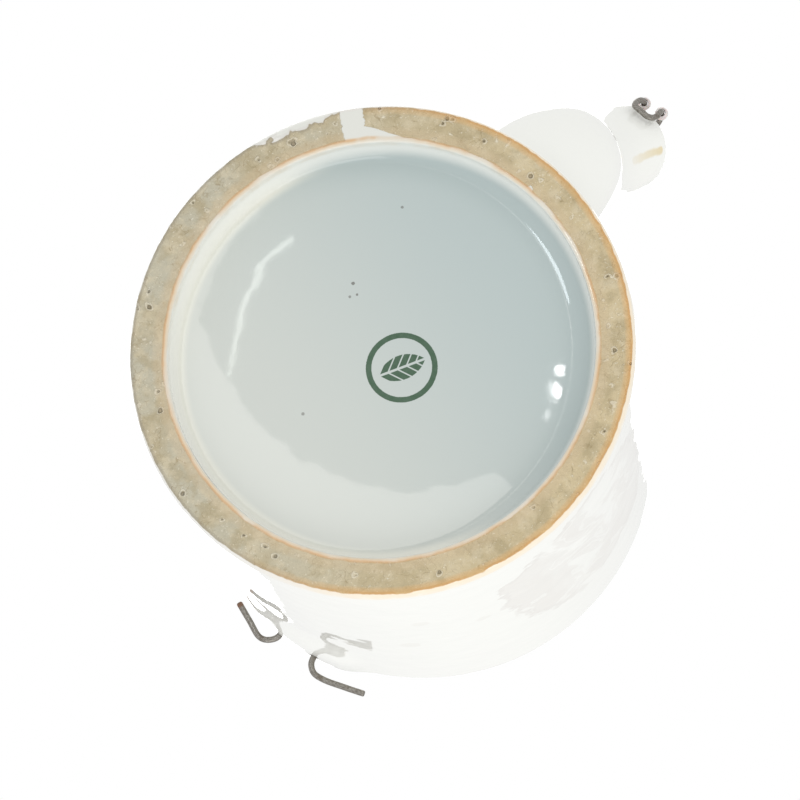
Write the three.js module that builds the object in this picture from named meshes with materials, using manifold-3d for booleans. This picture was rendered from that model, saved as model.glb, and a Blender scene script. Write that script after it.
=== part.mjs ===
// A porcelain cream jug with a tubular spout, a bamboo overhead handle held by
// two wire staples, and a small wire clip on the spout's lip.
// Millimetres, +Z up. The jug stands on z = 0 and its spout points along +X.
// The pieces are modelled about the jug's own axis, and the finished assembly is
// shifted along X so that the origin is the middle of its footprint.

import * as THREE from 'three';
import { mergeVertices } from 'three/addons/utils/BufferGeometryUtils.js';
import Module from 'manifold-3d';

const wasm = await Module();
wasm.setup();

// ---- driving dimensions -------------------------------------------------

const jug = {
  height: 66,
  rimRadius: 34.9,
  baseRadius: 35.8,
  baseFullHeight: 1.2, // where the wall reaches its full radius above the foot
  wall: 3.4,
  footOuter: 35.6,
  footInner: 30.2,
  footChamfer: 0.4,
  recess: 4.2, // height of the glazed recess inside the foot ring
  recessFillet: 3.4,
  floor: 8,
  floorFillet: 7,
  segments: 72,
};

// A low swelling of the wall round each pair of staple holes.
const pad = { proud: 1.0, bottom: 45, full: 59, top: 65.2, halfAngle: 20, bevel: 0.5, steps: 12 };

const hole = { y: 3.1, z: 62, radius: 0.8 };

// Centreline of the spout, with its outer radius. Luted on by hand, it leans a little in Y.
const spoutPath = [
  { x: 27.0, y: 0.7, z: 20.5, r: 10.6 },
  { x: 35.5, y: 0.7, z: 22.0, r: 10.4 },
  { x: 41.8, y: 0.6, z: 28.6, r: 9.4 },
  { x: 44.7, y: 0.3, z: 38.5, r: 7.5 },
  { x: 47.4, y: 0.0, z: 47.6, r: 5.9 },
  { x: 51.9, y: -0.3, z: 55.2, r: 5.7 },
  { x: 56.4, y: -0.5, z: 62.0, r: 6.6 },
  { x: 61.8, y: -0.6, z: 69.0, r: 7.4 },
];
const spout = { wall: 1.9, rings: 22, sides: 28 };
// The mouth is cut by a plane through these two points of the XZ plane.
const mouth = { front: { x: 64.5, z: 61.2 }, back: { x: 52.6, z: 67.7 } };

const strap = { width: 4.6, thickness: 2.4, outerX: 31.0, footZ: 55.5, springZ: 68, topZ: 95.6, steps: 40 };
const grip = { width: 7.0, thickness: 5.0, clearance: 0.3, from: 0.29, to: 0.71, steps: 28 };

const wire = { diameter: 0.95, sides: 8 };
const bead = { radius: 1.05, hole: 0.7, x: 65.5, y: 1.6, z: 62.9 };

// ---- materials ----------------------------------------------------------

function material(color, roughness, metalness) {
  return new THREE.MeshStandardMaterial({ color, roughness, metalness });
}

const porcelainLook = () => material(0xf1f1ec, 0.12, 0.0);
const bambooLook = () => material(0xb98a4e, 0.5, 0.0);
const caneLook = () => material(0xc9a56a, 0.55, 0.0);
const steelLook = () => material(0x85827d, 0.35, 1.0);
const beadLook = () => material(0xe6dcd8, 0.3, 0.0);

// ---- solids and geometry ------------------------------------------------

function toSolid(geometry) {
  const bare = geometry.clone();
  bare.deleteAttribute('normal');
  bare.deleteAttribute('uv');
  const welded = mergeVertices(bare, 1e-4);
  return new wasm.Manifold(new wasm.Mesh({
    numProp: 3,
    vertProperties: new Float32Array(welded.attributes.position.array),
    triVerts: new Uint32Array(welded.index.array),
  }));
}

function toGeometry(solid) {
  const mesh = solid.getMesh();
  const geometry = new THREE.BufferGeometry();
  geometry.setAttribute('position', new THREE.BufferAttribute(mesh.vertProperties, 3));
  geometry.setIndex(new THREE.BufferAttribute(mesh.triVerts, 1));
  geometry.computeVertexNormals();
  return geometry;
}

// A solid of revolution about +Z from [radius, height] points that run
// counter-clockwise in the radius-height half plane.
function revolve(profile, segments) {
  const points = profile.map(([r, z]) => new THREE.Vector2(r, z));
  return new THREE.LatheGeometry(points, segments).rotateX(Math.PI / 2);
}

// Points of a quarter or other arc, as [radius, height] pairs.
function arc(cx, cz, r, fromDeg, toDeg, steps) {
  const out = [];
  for (let i = 0; i <= steps; i += 1) {
    const a = THREE.MathUtils.degToRad(fromDeg + ((toDeg - fromDeg) * i) / steps);
    out.push([cx + r * Math.cos(a), cz + r * Math.sin(a)]);
  }
  return out;
}

// A closed skin through rings of points, each ring with the same count and
// running counter-clockwise as seen from the last ring.
function loft(rings) {
  const count = rings[0].length;
  const positions = [];
  rings.forEach((ring) => ring.forEach((p) => positions.push(p.x, p.y, p.z)));
  const index = [];
  for (let i = 0; i < rings.length - 1; i += 1) {
    for (let j = 0; j < count; j += 1) {
      const a = i * count + j;
      const b = i * count + ((j + 1) % count);
      index.push(a, b, b + count, a, b + count, a + count);
    }
  }
  [0, rings.length - 1].forEach((i) => {
    const centre = rings[i].reduce((sum, p) => sum.add(p), new THREE.Vector3()).divideScalar(count);
    const tip = positions.length / 3;
    positions.push(centre.x, centre.y, centre.z);
    for (let j = 0; j < count; j += 1) {
      const a = i * count + j;
      const b = i * count + ((j + 1) % count);
      if (i === 0) index.push(b, a, tip);
      else index.push(a, b, tip);
    }
  });
  const geometry = new THREE.BufferGeometry();
  geometry.setAttribute('position', new THREE.Float32BufferAttribute(positions, 3));
  geometry.setIndex(index);
  return geometry;
}

// Rings along a curve in or near the XZ plane; section(t) gives [side, up] offsets,
// side along Y and up across the curve.
function planarRings(curve, steps, section, from = 0, to = 1) {
  const rings = [];
  for (let i = 0; i <= steps; i += 1) {
    const t = from + ((to - from) * i) / steps;
    const p = curve.getPointAt(t);
    const tangent = curve.getTangentAt(t);
    const up = new THREE.Vector3(-tangent.z, 0, tangent.x).normalize();
    const side = new THREE.Vector3(0, 1, 0);
    rings.push(section(t).map(([s, u]) => p.clone()
      .addScaledVector(side, s)
      .addScaledVector(up, u)));
  }
  return rings;
}

function circleSection(radius, sides) {
  return arc(0, 0, radius, 0, 360, sides).slice(0, sides);
}

// A rounded strip, width along Y and thickness across the curve.
function stripSection(width, thickness) {
  const corner = thickness * 0.3;
  const w = width / 2 - corner;
  const h = thickness / 2 - corner;
  return [
    ...arc(w, h, corner, 0, 90, 2),
    ...arc(-w, h, corner, 90, 180, 2),
    ...arc(-w, -h, corner, 180, 270, 2),
    ...arc(w, -h, corner, 270, 360, 2),
  ];
}

function wireAlong(points, steps) {
  const curve = new THREE.CatmullRomCurve3(points.map((p) => new THREE.Vector3(...p)), false, 'centripetal');
  const shape = new THREE.Shape(arc(0, 0, wire.diameter / 2, 0, 360, wire.sides)
    .slice(0, wire.sides)
    .map(([x, y]) => new THREE.Vector2(x, y)));
  return new THREE.ExtrudeGeometry(shape, { steps, bevelEnabled: false, extrudePath: curve });
}

// ---- jug body -----------------------------------------------------------

function outerRadiusAt(z) {
  const t = (z - jug.baseFullHeight) / (jug.height - jug.baseFullHeight);
  return jug.baseRadius + (jug.rimRadius - jug.baseRadius) * t;
}

// Solid outside of the pot: foot ring, glazed recess, wall and rounded rim.
function potOutside() {
  const roll = jug.wall / 2;
  const rimCentre = jug.height - roll;
  const fillet = jug.recessFillet;
  return revolve([
    [0, jug.recess],
    [jug.footInner - fillet - 6, jug.recess],
    ...arc(jug.footInner - fillet, jug.recess - fillet, fillet, 90, 0, 5),
    [jug.footInner, jug.footChamfer],
    [jug.footInner + jug.footChamfer, 0],
    [jug.footOuter - jug.footChamfer, 0],
    [jug.footOuter, jug.footChamfer / 2],
    [jug.baseRadius, jug.baseFullHeight],
    [outerRadiusAt(jug.height / 2), jug.height / 2],
    [outerRadiusAt(rimCentre), rimCentre],
    ...arc(jug.rimRadius - roll, rimCentre, roll, 0, 90, 4),
    [0, jug.height],
  ], jug.segments);
}

// The space inside the pot, open above the rim.
function potInside() {
  const roll = jug.wall / 2;
  const inner = (z) => outerRadiusAt(z) - jug.wall;
  const rimCentre = jug.height - roll;
  const fillet = jug.floorFillet;
  return revolve([
    [0, jug.floor],
    ...arc(inner(jug.floor + fillet) - fillet, jug.floor + fillet, fillet, -90, 0, 6),
    [inner(jug.height / 2), jug.height / 2],
    [inner(rimCentre), rimCentre],
    ...arc(jug.rimRadius - roll, rimCentre, roll, 180, 105, 4),
    [jug.rimRadius - roll, jug.height + 0.6],
    [0, jug.height + 0.6],
  ], jug.segments);
}

// The swelling rises gently from below and from both sides, and ends just under the rim.
function staplePad(centreDeg) {
  const inner = jug.rimRadius - jug.wall * 0.6;
  const rings = [];
  for (let i = 0; i <= pad.steps; i += 1) {
    const a = THREE.MathUtils.degToRad(centreDeg - pad.halfAngle + (2 * pad.halfAngle * i) / pad.steps);
    const rise = Math.sqrt(Math.sin((Math.PI * i) / pad.steps));
    const outer = jug.rimRadius - 0.3 + (pad.proud + 0.3) * rise;
    const ring = [
      [inner, pad.top],
      [outer - pad.bevel, pad.top],
      [outer, pad.top - pad.bevel],
      [outer, pad.full],
      [outerRadiusAt(pad.bottom) - 0.2, pad.bottom],
      [inner, pad.bottom],
    ];
    rings.push(ring.map(([r, z]) => new THREE.Vector3(r * Math.cos(a), r * Math.sin(a), z)));
  }
  return loft(rings);
}

const spoutCurve = new THREE.CatmullRomCurve3(
  spoutPath.map((p) => new THREE.Vector3(p.x, p.y, p.z)),
  false,
  'centripetal',
);

// The radii follow the centreline as a smooth curve of their own.
const spoutRadii = new THREE.SplineCurve(spoutPath.map((p, i) => new THREE.Vector2(i, p.r)));

function spoutRadiusAt(t) {
  const u = spoutCurve.getUtoTmapping(t);
  return spoutRadii.getPoint(u).y;
}

function spoutTube(inset) {
  const section = (t) => circleSection(spoutRadiusAt(t) - inset, spout.sides);
  return toSolid(loft(planarRings(spoutCurve, spout.rings, section)));
}

// Everything above the plane of the spout's mouth, as a large slab.
function aboveMouth() {
  const dx = mouth.front.x - mouth.back.x;
  const dz = mouth.front.z - mouth.back.z;
  const angle = Math.atan2(dz, dx);
  const size = 40;
  const slab = new THREE.BoxGeometry(size, size, size).translate(0, 0, size / 2);
  return toSolid(slab
    .rotateY(-angle)
    .translate((mouth.front.x + mouth.back.x) / 2, 0, (mouth.front.z + mouth.back.z) / 2));
}

function stapleHole(y) {
  const drill = new THREE.CylinderGeometry(hole.radius, hole.radius, 100, 12);
  return toSolid(drill.rotateZ(Math.PI / 2).translate(0, y, hole.z));
}

function jugBody() {
  const bore = spoutTube(spout.wall);
  const hollow = toSolid(potInside());
  let body = toSolid(potOutside())
    .add(toSolid(staplePad(0)))
    .add(toSolid(staplePad(180)))
    .add(spoutTube(0).subtract(aboveMouth()));
  body = body.subtract(hollow).subtract(bore);
  [-hole.y, hole.y].forEach((y) => {
    body = body.subtract(stapleHole(y));
  });
  return toGeometry(body);
}

// ---- overhead handle ----------------------------------------------------

function handleCurve() {
  const x = strap.outerX - strap.thickness / 2;
  const points = [];
  points.push(new THREE.Vector3(-x, 0, strap.footZ), new THREE.Vector3(-x, 0, (strap.footZ + strap.springZ) / 2));
  const rise = strap.topZ - strap.springZ;
  for (let i = 0; i <= 12; i += 1) {
    const a = Math.PI - (Math.PI * i) / 12;
    points.push(new THREE.Vector3(x * Math.cos(a), 0, strap.springZ + rise * Math.sin(a)));
  }
  points.push(new THREE.Vector3(x, 0, (strap.footZ + strap.springZ) / 2), new THREE.Vector3(x, 0, strap.footZ));
  return new THREE.CatmullRomCurve3(points, false, 'centripetal');
}

function handleStrap() {
  const section = () => stripSection(strap.width, strap.thickness);
  return loft(planarRings(handleCurve(), strap.steps, section));
}

// The binding is a sleeve round the middle of the strap.
function gripBinding() {
  const gap = 2 * grip.clearance;
  const outer = planarRings(
    handleCurve(),
    grip.steps,
    () => stripSection(grip.width, grip.thickness),
    grip.from,
    grip.to,
  );
  const inner = planarRings(
    handleCurve(),
    strap.steps,
    () => stripSection(strap.width + gap, strap.thickness + gap),
  );
  return toGeometry(toSolid(loft(outer)).subtract(toSolid(loft(inner))));
}

// ---- wire pieces --------------------------------------------------------

// The staple's crown crosses the strap inside the jug, its legs pass through
// the two holes, and its ends are bent outwards and aside.
const crownX = -(strap.outerX - strap.thickness - 0.3 - wire.diameter / 2);

function rearStaple() {
  return wireAlong([
    [-34.95, -11.3, hole.z],
    [-36.4, -8.4, hole.z],
    [-37.7, -5.7, hole.z],
    [-37.5, -4.5, hole.z],
    [-36.5, -3.4, hole.z],
    [-35.2, -hole.y, hole.z],
    [-32.0, -hole.y, hole.z],
    [crownX - 0.8, -hole.y, hole.z],
    [crownX, -hole.y + 0.8, hole.z],
    [crownX, 0, hole.z],
    [crownX, hole.y - 0.8, hole.z],
    [crownX - 0.8, hole.y, hole.z],
    [-32.0, hole.y, hole.z],
    [-35.2, hole.y, hole.z],
    [-36.9, 3.4, hole.z],
    [-37.9, 4.5, hole.z],
    [-38.0, 6.2, hole.z],
    [-37.3, 9.6, hole.z],
    [-36.5, 12.9, hole.z],
  ], 64);
}

function frontStaple() {
  const half = [
    [-crownX, 0, hole.z],
    [-crownX, hole.y - 0.8, hole.z],
    [-crownX + 0.8, hole.y, hole.z],
    [32.0, hole.y, hole.z],
    [35.4, hole.y, hole.z],
    [36.6, 3.5, hole.z],
    [37.1, 4.6, hole.z],
    [36.9, 6.2, hole.z],
    [36.4, 8.8, hole.z],
  ];
  const mirrored = half.slice(1).reverse().map(([x, y, z]) => [x, -y, z]);
  return wireAlong([...mirrored, ...half], 60);
}

// The clip's straight bar lies under the lip; each leg goes up round the nose of
// the lip, through a bead, and down inside the spout. The bar sits a little askew.
function clipLeg(side) {
  const askew = -0.15 * side;
  return [
    [62.95, 0, 58.1],
    [62.95 + askew, side * 0.9, 58.1],
    [63.15 + askew, side * 1.6, 58.3],
    [63.95 + askew, side * 1.95, 59.2],
    [65.0, side * 1.85, 60.3],
    [bead.x, side * bead.y, 61.6],
    [bead.x, side * bead.y, 62.9],
    [65.3, side * bead.y, 64.1],
    [64.5, side * bead.y, 64.6],
    [63.5, side * 1.5, 64.3],
    [62.5, side * 1.4, 63.7],
    [61.6, side * 1.2, 62.9],
    [60.9, side * 1.1, 61.8],
  ];
}

function spoutClip() {
  return wireAlong([...clipLeg(-1).slice(1).reverse(), ...clipLeg(1)], 72);
}

function clipBead(side) {
  const ball = toSolid(new THREE.SphereGeometry(bead.radius, 16, 12).rotateX(Math.PI / 2));
  const drill = toSolid(new THREE.CylinderGeometry(bead.hole, bead.hole, 4, 12).rotateX(Math.PI / 2));
  return toGeometry(ball.subtract(drill)).translate(bead.x, side * bead.y, bead.z);
}

// ---- assembly -----------------------------------------------------------

const assembly = new THREE.Group();

function addPart(name, geometry, look) {
  const mesh = new THREE.Mesh(geometry, look);
  mesh.name = name;
  assembly.add(mesh);
}

addPart('jug_body', jugBody(), porcelainLook());
addPart('handle_strap', handleStrap(), bambooLook());
addPart('grip_binding', gripBinding(), caneLook());
addPart('rear_staple', rearStaple(), steelLook());
addPart('front_staple', frontStaple(), steelLook());
addPart('spout_clip', spoutClip(), steelLook());
addPart('clip_bead_left', clipBead(1), beadLook());
addPart('clip_bead_right', clipBead(-1), beadLook());

// Shift along X so that the origin is the middle of the footprint.
const footprint = new THREE.Box3().setFromObject(assembly, true);
assembly.position.x = -(footprint.min.x + footprint.max.x) / 2;

const group = new THREE.Group();
group.add(assembly);

export default group;
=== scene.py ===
"""Looks for the porcelain cream jug. Shapes are worked out in millimetres about the jug's own axis
(+Z up, spout towards +X) and placed in the row frame, in metres, by place()."""

import math

import bmesh
import bpy
import numpy as np
from mathutils import Matrix, Vector


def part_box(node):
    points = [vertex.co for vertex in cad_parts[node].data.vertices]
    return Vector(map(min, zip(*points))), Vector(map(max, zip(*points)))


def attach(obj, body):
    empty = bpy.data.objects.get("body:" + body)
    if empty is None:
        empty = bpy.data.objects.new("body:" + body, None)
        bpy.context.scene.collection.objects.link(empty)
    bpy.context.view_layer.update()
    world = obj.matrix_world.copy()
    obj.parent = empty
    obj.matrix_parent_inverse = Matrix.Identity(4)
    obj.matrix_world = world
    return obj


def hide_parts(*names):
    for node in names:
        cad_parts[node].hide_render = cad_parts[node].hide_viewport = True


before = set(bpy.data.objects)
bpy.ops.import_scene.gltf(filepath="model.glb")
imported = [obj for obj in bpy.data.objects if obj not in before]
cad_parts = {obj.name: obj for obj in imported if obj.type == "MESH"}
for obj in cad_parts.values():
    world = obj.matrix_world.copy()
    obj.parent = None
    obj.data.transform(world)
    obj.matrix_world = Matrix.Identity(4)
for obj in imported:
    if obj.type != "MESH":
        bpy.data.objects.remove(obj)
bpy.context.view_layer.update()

MM = 0.001
strap_low, strap_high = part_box("handle_strap")
AXIS_X = (strap_low.x + strap_high.x) / 2  # the jug's own axis in the row frame
GROUND_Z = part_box("jug_body")[0].z

# ---- driving dimensions, in millimetres, at or close to the CAD source's ----

HEIGHT = 66.0
RIM_RADIUS = 34.9
BASE_RADIUS = 35.8
BASE_FULL_HEIGHT = 1.2
WALL = 3.4
FOOT_OUTER = 35.6
FOOT_INNER = 30.2
RECESS = 4.2
RECESS_FILLET = 3.4
FLOOR = 8.0
FLOOR_FILLET = 7.0
POOL_NARROW, POOL_WIDE, POOL_SIDE = 0.9, 4.0, 58.0  # reach of the pooled glaze, and its azimuth

PAD_PROUD = 0.95
PAD_BOTTOM, PAD_FULL, PAD_TOP = 44.0, 60.0, 65.2
PAD_HALF_ANGLE = 20.0

HOLE_Y, HOLE_Z, HOLE_RADIUS = 3.1, 62.0, 0.8
DRILL_X, DRILL_REACH = 33, 6  # the middle of the wall, and how far a drill goes to either side of it

SPOUT_PATH = [  # x, y, z and outer radius of the spout's centreline
    (27.0, 0.7, 20.5, 10.6),
    (35.5, 0.7, 22.0, 10.4),
    (41.8, 0.6, 28.6, 9.4),
    (44.7, 0.3, 38.5, 7.5),
    (47.4, 0.0, 47.6, 5.9),
    (51.9, -0.3, 55.2, 5.7),
    (56.4, -0.5, 62.0, 6.6),
    (61.8, -0.6, 69.0, 7.4),
]
SPOUT_WALL = 1.9
MOUTH_FRONT, MOUTH_BACK = (64.5, 61.2), (52.6, 67.7)
ROOT_BLEND, CROTCH_BLEND = 3.2, 0.7  # how softly the spout runs into the wall, below and above
CROTCH_FROM, CROTCH_TO = 24.0, 31.0
ROOT_FROM_X, ROOT_HALF_WIDTH, ROOT_LOW, ROOT_HIGH = 15, 20, 4, 50  # the box that the blend stays in

WIRE_RADIUS = 0.475
STRAP_WIDTH, STRAP_THICKNESS = 4.6, 2.4
STRAP_OUTER_X = 31.0
STRAP_X = STRAP_OUTER_X - STRAP_THICKNESS / 2
STRAP_FOOT_Z, STRAP_SPRING_Z, STRAP_TOP_Z = 55.5, 68.0, 95.6
GRIP_FROM, GRIP_TO = 0.29, 0.71
BAMBOO_NODES = (0.17, 0.5, 0.81)  # shares of the handle's length
CANE_WIDTH, CANE_PITCH, CANE_THICKNESS = 1.78, 1.84, 0.66
STAPLE_X = STRAP_OUTER_X - STRAP_THICKNESS - 0.3 - WIRE_RADIUS  # each staple's crown, inside the handle

BEAD_RADIUS, BEAD_HOLE = 1.05, 0.62
BEAD_X, BEAD_Y, BEAD_Z = 65.5, 1.6, 62.9

# ---- mesh helpers ----


def place(points):
    """Points about the jug's axis, in mm, as points of the row frame, in metres."""
    out = np.array(points, float).reshape(-1, 3) * MM
    out[:, 0] += AXIS_X
    out[:, 2] += GROUND_Z
    return out


def add_object(name, data):
    obj = bpy.data.objects.new(name, data)
    bpy.context.scene.collection.objects.link(obj)
    return obj


def make_object(name, points, faces, smooth=True):
    mesh = bpy.data.meshes.new(name)
    mesh.from_pydata(place(points).tolist(), [], [list(map(int, f)) for f in faces])
    mesh.validate()
    mesh.polygons.foreach_set("use_smooth", [smooth] * len(mesh.polygons))
    mesh.update()
    return add_object(name, mesh)


def skin(name, rings, caps=True):
    """An object through rings of points, each ring closed, with a fan over both ends if caps is set."""
    rings = np.array(rings, float)
    n, m = rings.shape[:2]
    points = rings.reshape(-1, 3).tolist()
    faces = []
    for i in range(n - 1):
        for j in range(m):
            k = (j + 1) % m
            faces.append((i * m + j, i * m + k, (i + 1) * m + k, (i + 1) * m + j))
    for i, turn in ((0, -1), (n - 1, 1)) if caps else ():
        tip = len(points)
        points.append(rings[i].mean(0).tolist())
        for j in range(m):
            pair = (i * m + j, i * m + (j + 1) % m)
            faces.append(pair[::turn] + (tip,))
    return make_object(name, points, faces)


def set_along(obj, values):
    """How far along the piece each point lies, for the materials to read."""
    attribute = obj.data.attributes.new("along", "FLOAT", "POINT")
    attribute.data.foreach_set("value", np.array(values, np.float32))


def edit_mesh(obj, change):
    b = bmesh.new()
    b.from_mesh(obj.data)
    change(b)
    b.to_mesh(obj.data)
    b.free()


def unit(v):
    v = np.array(v, float)
    return v / np.maximum(np.linalg.norm(v, axis=-1, keepdims=True), 1e-12)


def signed_power(x, exponent):
    """The size of x to a power, with x's own sign."""
    return np.sign(x) * np.abs(x) ** exponent


def smoothstep(x, low, high):
    t = np.clip((np.asarray(x, float) - low) / (high - low), 0, 1)
    return t * t * (3 - 2 * t)


def catmull(points, per_span):
    """Centripetal Catmull-Rom curve through points of any dimension. The first two or three columns
    set the spacing; the rest ride along."""
    pts = np.array(points, float)
    lead = 2 * pts[0] - pts[1]
    tail = 2 * pts[-1] - pts[-2]
    ext = np.vstack([lead, pts, tail])
    out = []
    for i in range(1, len(ext) - 2):
        p0, p1, p2, p3 = ext[i - 1 : i + 3]
        d0, d1, d2 = (max(np.linalg.norm(b - a), 1e-6) ** 0.5 for a, b in ((p0, p1), (p1, p2), (p2, p3)))
        t1 = ((p1 - p0) / d0 - (p2 - p0) / (d0 + d1) + (p2 - p1) / d1) * d1
        t2 = ((p2 - p1) / d1 - (p3 - p1) / (d1 + d2) + (p3 - p2) / d2) * d1
        for w in np.arange(per_span) / per_span:
            out.append(
                (2 * w**3 - 3 * w**2 + 1) * p1
                + (w**3 - 2 * w**2 + w) * t1
                + (3 * w**2 - 2 * w**3) * p2
                + (w**3 - w**2) * t2
            )
    out.append(pts[-1])
    return np.array(out)


def resample(points, count):
    """Points at equal spacing along a line, and how far along it each one is."""
    points = np.array(points, float)
    s = np.concatenate([[0], np.cumsum(np.linalg.norm(np.diff(points, axis=0), axis=1))])
    at = np.linspace(0, s[-1], count)
    return np.stack([np.interp(at, s, points[:, k]) for k in range(points.shape[1])], 1), at


def tube(name, points, radius, sides=20, count=240, bevel=0.12):
    """A round wire along a smooth path, with chamfered cut ends."""
    line, along = resample(catmull(points, 24), count)
    tangents = unit(np.gradient(line, axis=0))
    up = np.array([0.0, 0.0, 1.0])
    if abs(tangents[0] @ up) > 0.9:
        up = np.array([0.0, 1.0, 0.0])
    rings, values = [], []
    normal = unit(up - tangents[0] * (up @ tangents[0]))
    turns = np.linspace(0, 2 * math.pi, sides, endpoint=False)
    total = along[-1]
    for p, t, s in zip(line, tangents, along):
        normal = unit(normal - t * (normal @ t))
        binormal = np.cross(t, normal)
        end = min(s, total - s)
        r = radius - bevel * max(0.0, 1 - end / bevel) * 0.8
        rings.append([p + r * (math.cos(a) * normal + math.sin(a) * binormal) for a in turns])
        values += [s] * sides
    obj = skin(name, rings)
    set_along(obj, values + [0.0, total])
    return obj


# ---- the pot ----


def outer_radius(z):
    return BASE_RADIUS + (RIM_RADIUS - BASE_RADIUS) * (z - BASE_FULL_HEIGHT) / (HEIGHT - BASE_FULL_HEIGHT)


def arc(cx, cz, radius, start, stop, steps):
    a = np.radians(np.linspace(start, stop, steps + 1))
    return [(cx + radius * math.cos(t), cz + radius * math.sin(t)) for t in a]


def line_to(profile, r, z, step):
    """Goes on from the profile's last point in a straight line of short steps."""
    r0, z0 = profile[-1]
    n = max(1, round(math.hypot(r - r0, z - z0) / step))
    for i in range(1, n + 1):
        profile.append((r0 + (r - r0) * i / n, z0 + (z - z0) * i / n))


def pot_profile():
    """Radius and height from the middle of the underside, round the foot, wall and rim, to the
    middle of the floor inside."""
    roll = WALL / 2
    rim = HEIGHT - roll
    p = [(0.6, RECESS)]
    line_to(p, FOOT_INNER - RECESS_FILLET - 0.8, RECESS, 1.5)
    line_to(p, FOOT_INNER - RECESS_FILLET - 0.1, RECESS, 0.35)
    p += arc(FOOT_INNER - RECESS_FILLET, RECESS - RECESS_FILLET, RECESS_FILLET, 90, 4, 12)[1:]
    line_to(p, FOOT_INNER + 0.02, 0.42, 0.3)
    p += arc(FOOT_INNER + 0.42, 0.4, 0.4, 180, 270, 5)[1:]
    line_to(p, FOOT_OUTER - 0.4, 0.0, 0.3)
    p += arc(FOOT_OUTER - 0.35, 0.35, 0.35, 270, 340, 4)[1:]
    line_to(p, BASE_RADIUS, BASE_FULL_HEIGHT, 0.35)
    line_to(p, outer_radius(PAD_FULL - 4), PAD_FULL - 4, 1.1)
    line_to(p, outer_radius(rim), rim, 0.5)
    p += arc(RIM_RADIUS - roll, rim, roll, 0, 180, 18)[1:]
    line_to(p, outer_radius(PAD_FULL) - WALL, PAD_FULL, 1.4)
    line_to(p, outer_radius(FLOOR + FLOOR_FILLET) - WALL, FLOOR + FLOOR_FILLET, 1.9)
    inner = outer_radius(FLOOR + FLOOR_FILLET) - WALL
    p += arc(inner - FLOOR_FILLET, FLOOR + FLOOR_FILLET, FLOOR_FILLET, 0, -90, 12)[1:]
    line_to(p, 0.6, FLOOR, 2.4)
    return np.array(p)


def pot_angles():
    """Directions round the axis, closer together at the two staple pads."""
    marks = []
    for a in np.arange(0, 360, 1.5):
        marks.append(a)
        near_pad = min(abs((a + 0.75) % 360), abs(360 - (a + 0.75) % 360), abs((a + 0.75) % 360 - 180))
        if near_pad < PAD_HALF_ANGLE + 3:
            marks.append(a + 0.75)
    return np.radians(np.array(marks))


def make_pot():
    profile, angles = pot_profile(), pot_angles()
    rings = np.zeros((len(profile), len(angles), 3))
    away = np.degrees(np.minimum(np.abs((angles + math.pi / 2) % math.pi - math.pi / 2), math.pi))
    across = 1 - smoothstep(away, PAD_HALF_ANGLE * 0.55, PAD_HALF_ANGLE * 1.05)
    rim_start = int(np.argmax(profile[:, 1]))
    toward_pool = (0.5 + 0.5 * np.cos(angles - math.radians(POOL_SIDE))) ** 2
    sweep = POOL_NARROW + (POOL_WIDE - POOL_NARROW) * toward_pool
    for i, (r, z) in enumerate(profile):
        out = np.full(len(angles), r)
        if z <= RECESS + 0.01 and r < FOOT_INNER and i < rim_start:
            # the glaze lies deeper in the corner of the recess on one side, so its curve is wider there
            curve_start = FOOT_INNER - RECESS_FILLET
            corner = FOOT_INNER - (FOOT_INNER - r) * sweep / RECESS_FILLET
            out = corner if r > curve_start else r * (FOOT_INNER - sweep) / curve_start
        if i <= rim_start and z > PAD_BOTTOM:
            up = smoothstep(z, PAD_BOTTOM, PAD_FULL) * (1 - smoothstep(z, PAD_TOP - 0.9, PAD_TOP + 0.5))
            out = out + PAD_PROUD * up * across
        sway = 0.05 * np.sin(3 * angles + z / 23) + 0.03 * np.sin(5 * angles - z / 17 + 1.3)
        out = out + sway * smoothstep(r, 8, 30) * smoothstep(z, 0.4, 12)
        rings[i, :, 0] = out * np.cos(angles)
        rings[i, :, 1] = out * np.sin(angles)
        rings[i, :, 2] = z
    return skin("pot", rings)


# ---- the spout ----


def smooth_radii(at):
    """Outer radius of the spout along its path, as a uniform Catmull-Rom curve of the listed radii."""
    r = np.array([p[3] for p in SPOUT_PATH])
    n = len(r)
    i = np.clip(at.astype(int), 0, n - 2)
    w = at - i
    p0, p1, p2, p3 = r[np.maximum(i - 1, 0)], r[i], r[i + 1], r[np.minimum(i + 2, n - 1)]
    v0, v1 = (p2 - p0) / 2, (p3 - p1) / 2
    return (2 * p1 - 2 * p2 + v0 + v1) * w**3 + (3 * p2 - 3 * p1 - 2 * v0 - v1) * w**2 + v0 * w + p1


PER_SPAN = 40
spout_curve = catmull([p[:3] for p in SPOUT_PATH], PER_SPAN)
spout_line, spout_lean = spout_curve[:, [0, 2]], spout_curve[:, 1]
spout_radius = smooth_radii(np.minimum(np.arange(len(spout_line)) / PER_SPAN, len(SPOUT_PATH) - 1.0001))
spout_tangent = unit(np.gradient(spout_line, axis=0))

mouth_normal = unit([MOUTH_BACK[1] - MOUTH_FRONT[1], MOUTH_FRONT[0] - MOUTH_BACK[0]])
LIP = SPOUT_WALL / 2
mouth_point = np.array(MOUTH_FRONT) - mouth_normal * LIP * 0.9


def spout_ring(i, radius, sides=80):
    """One ring of the spout at centreline sample i. Near the mouth the ring leans to the mouth's plane."""
    c, t = spout_line[i], spout_tangent[i]
    lean = smoothstep(i / (len(spout_line) - 1), 0.55, 0.86)
    n = unit(t * (1 - lean) + mouth_normal * lean)
    phi = np.linspace(0, 2 * math.pi, sides, endpoint=False)
    across = np.cos(phi) * radius
    shift = -across * (-t[1] * n[0] + t[0] * n[1]) / (t @ n)
    x = c[0] - t[1] * across + t[0] * shift
    z = c[1] + t[0] * across + t[1] * shift
    return np.stack([x, spout_lean[i] + np.sin(phi) * radius, z], 1)


def mouth_index():
    side = (spout_line - mouth_point) @ mouth_normal
    return int(np.argmax(side > 0))


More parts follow.
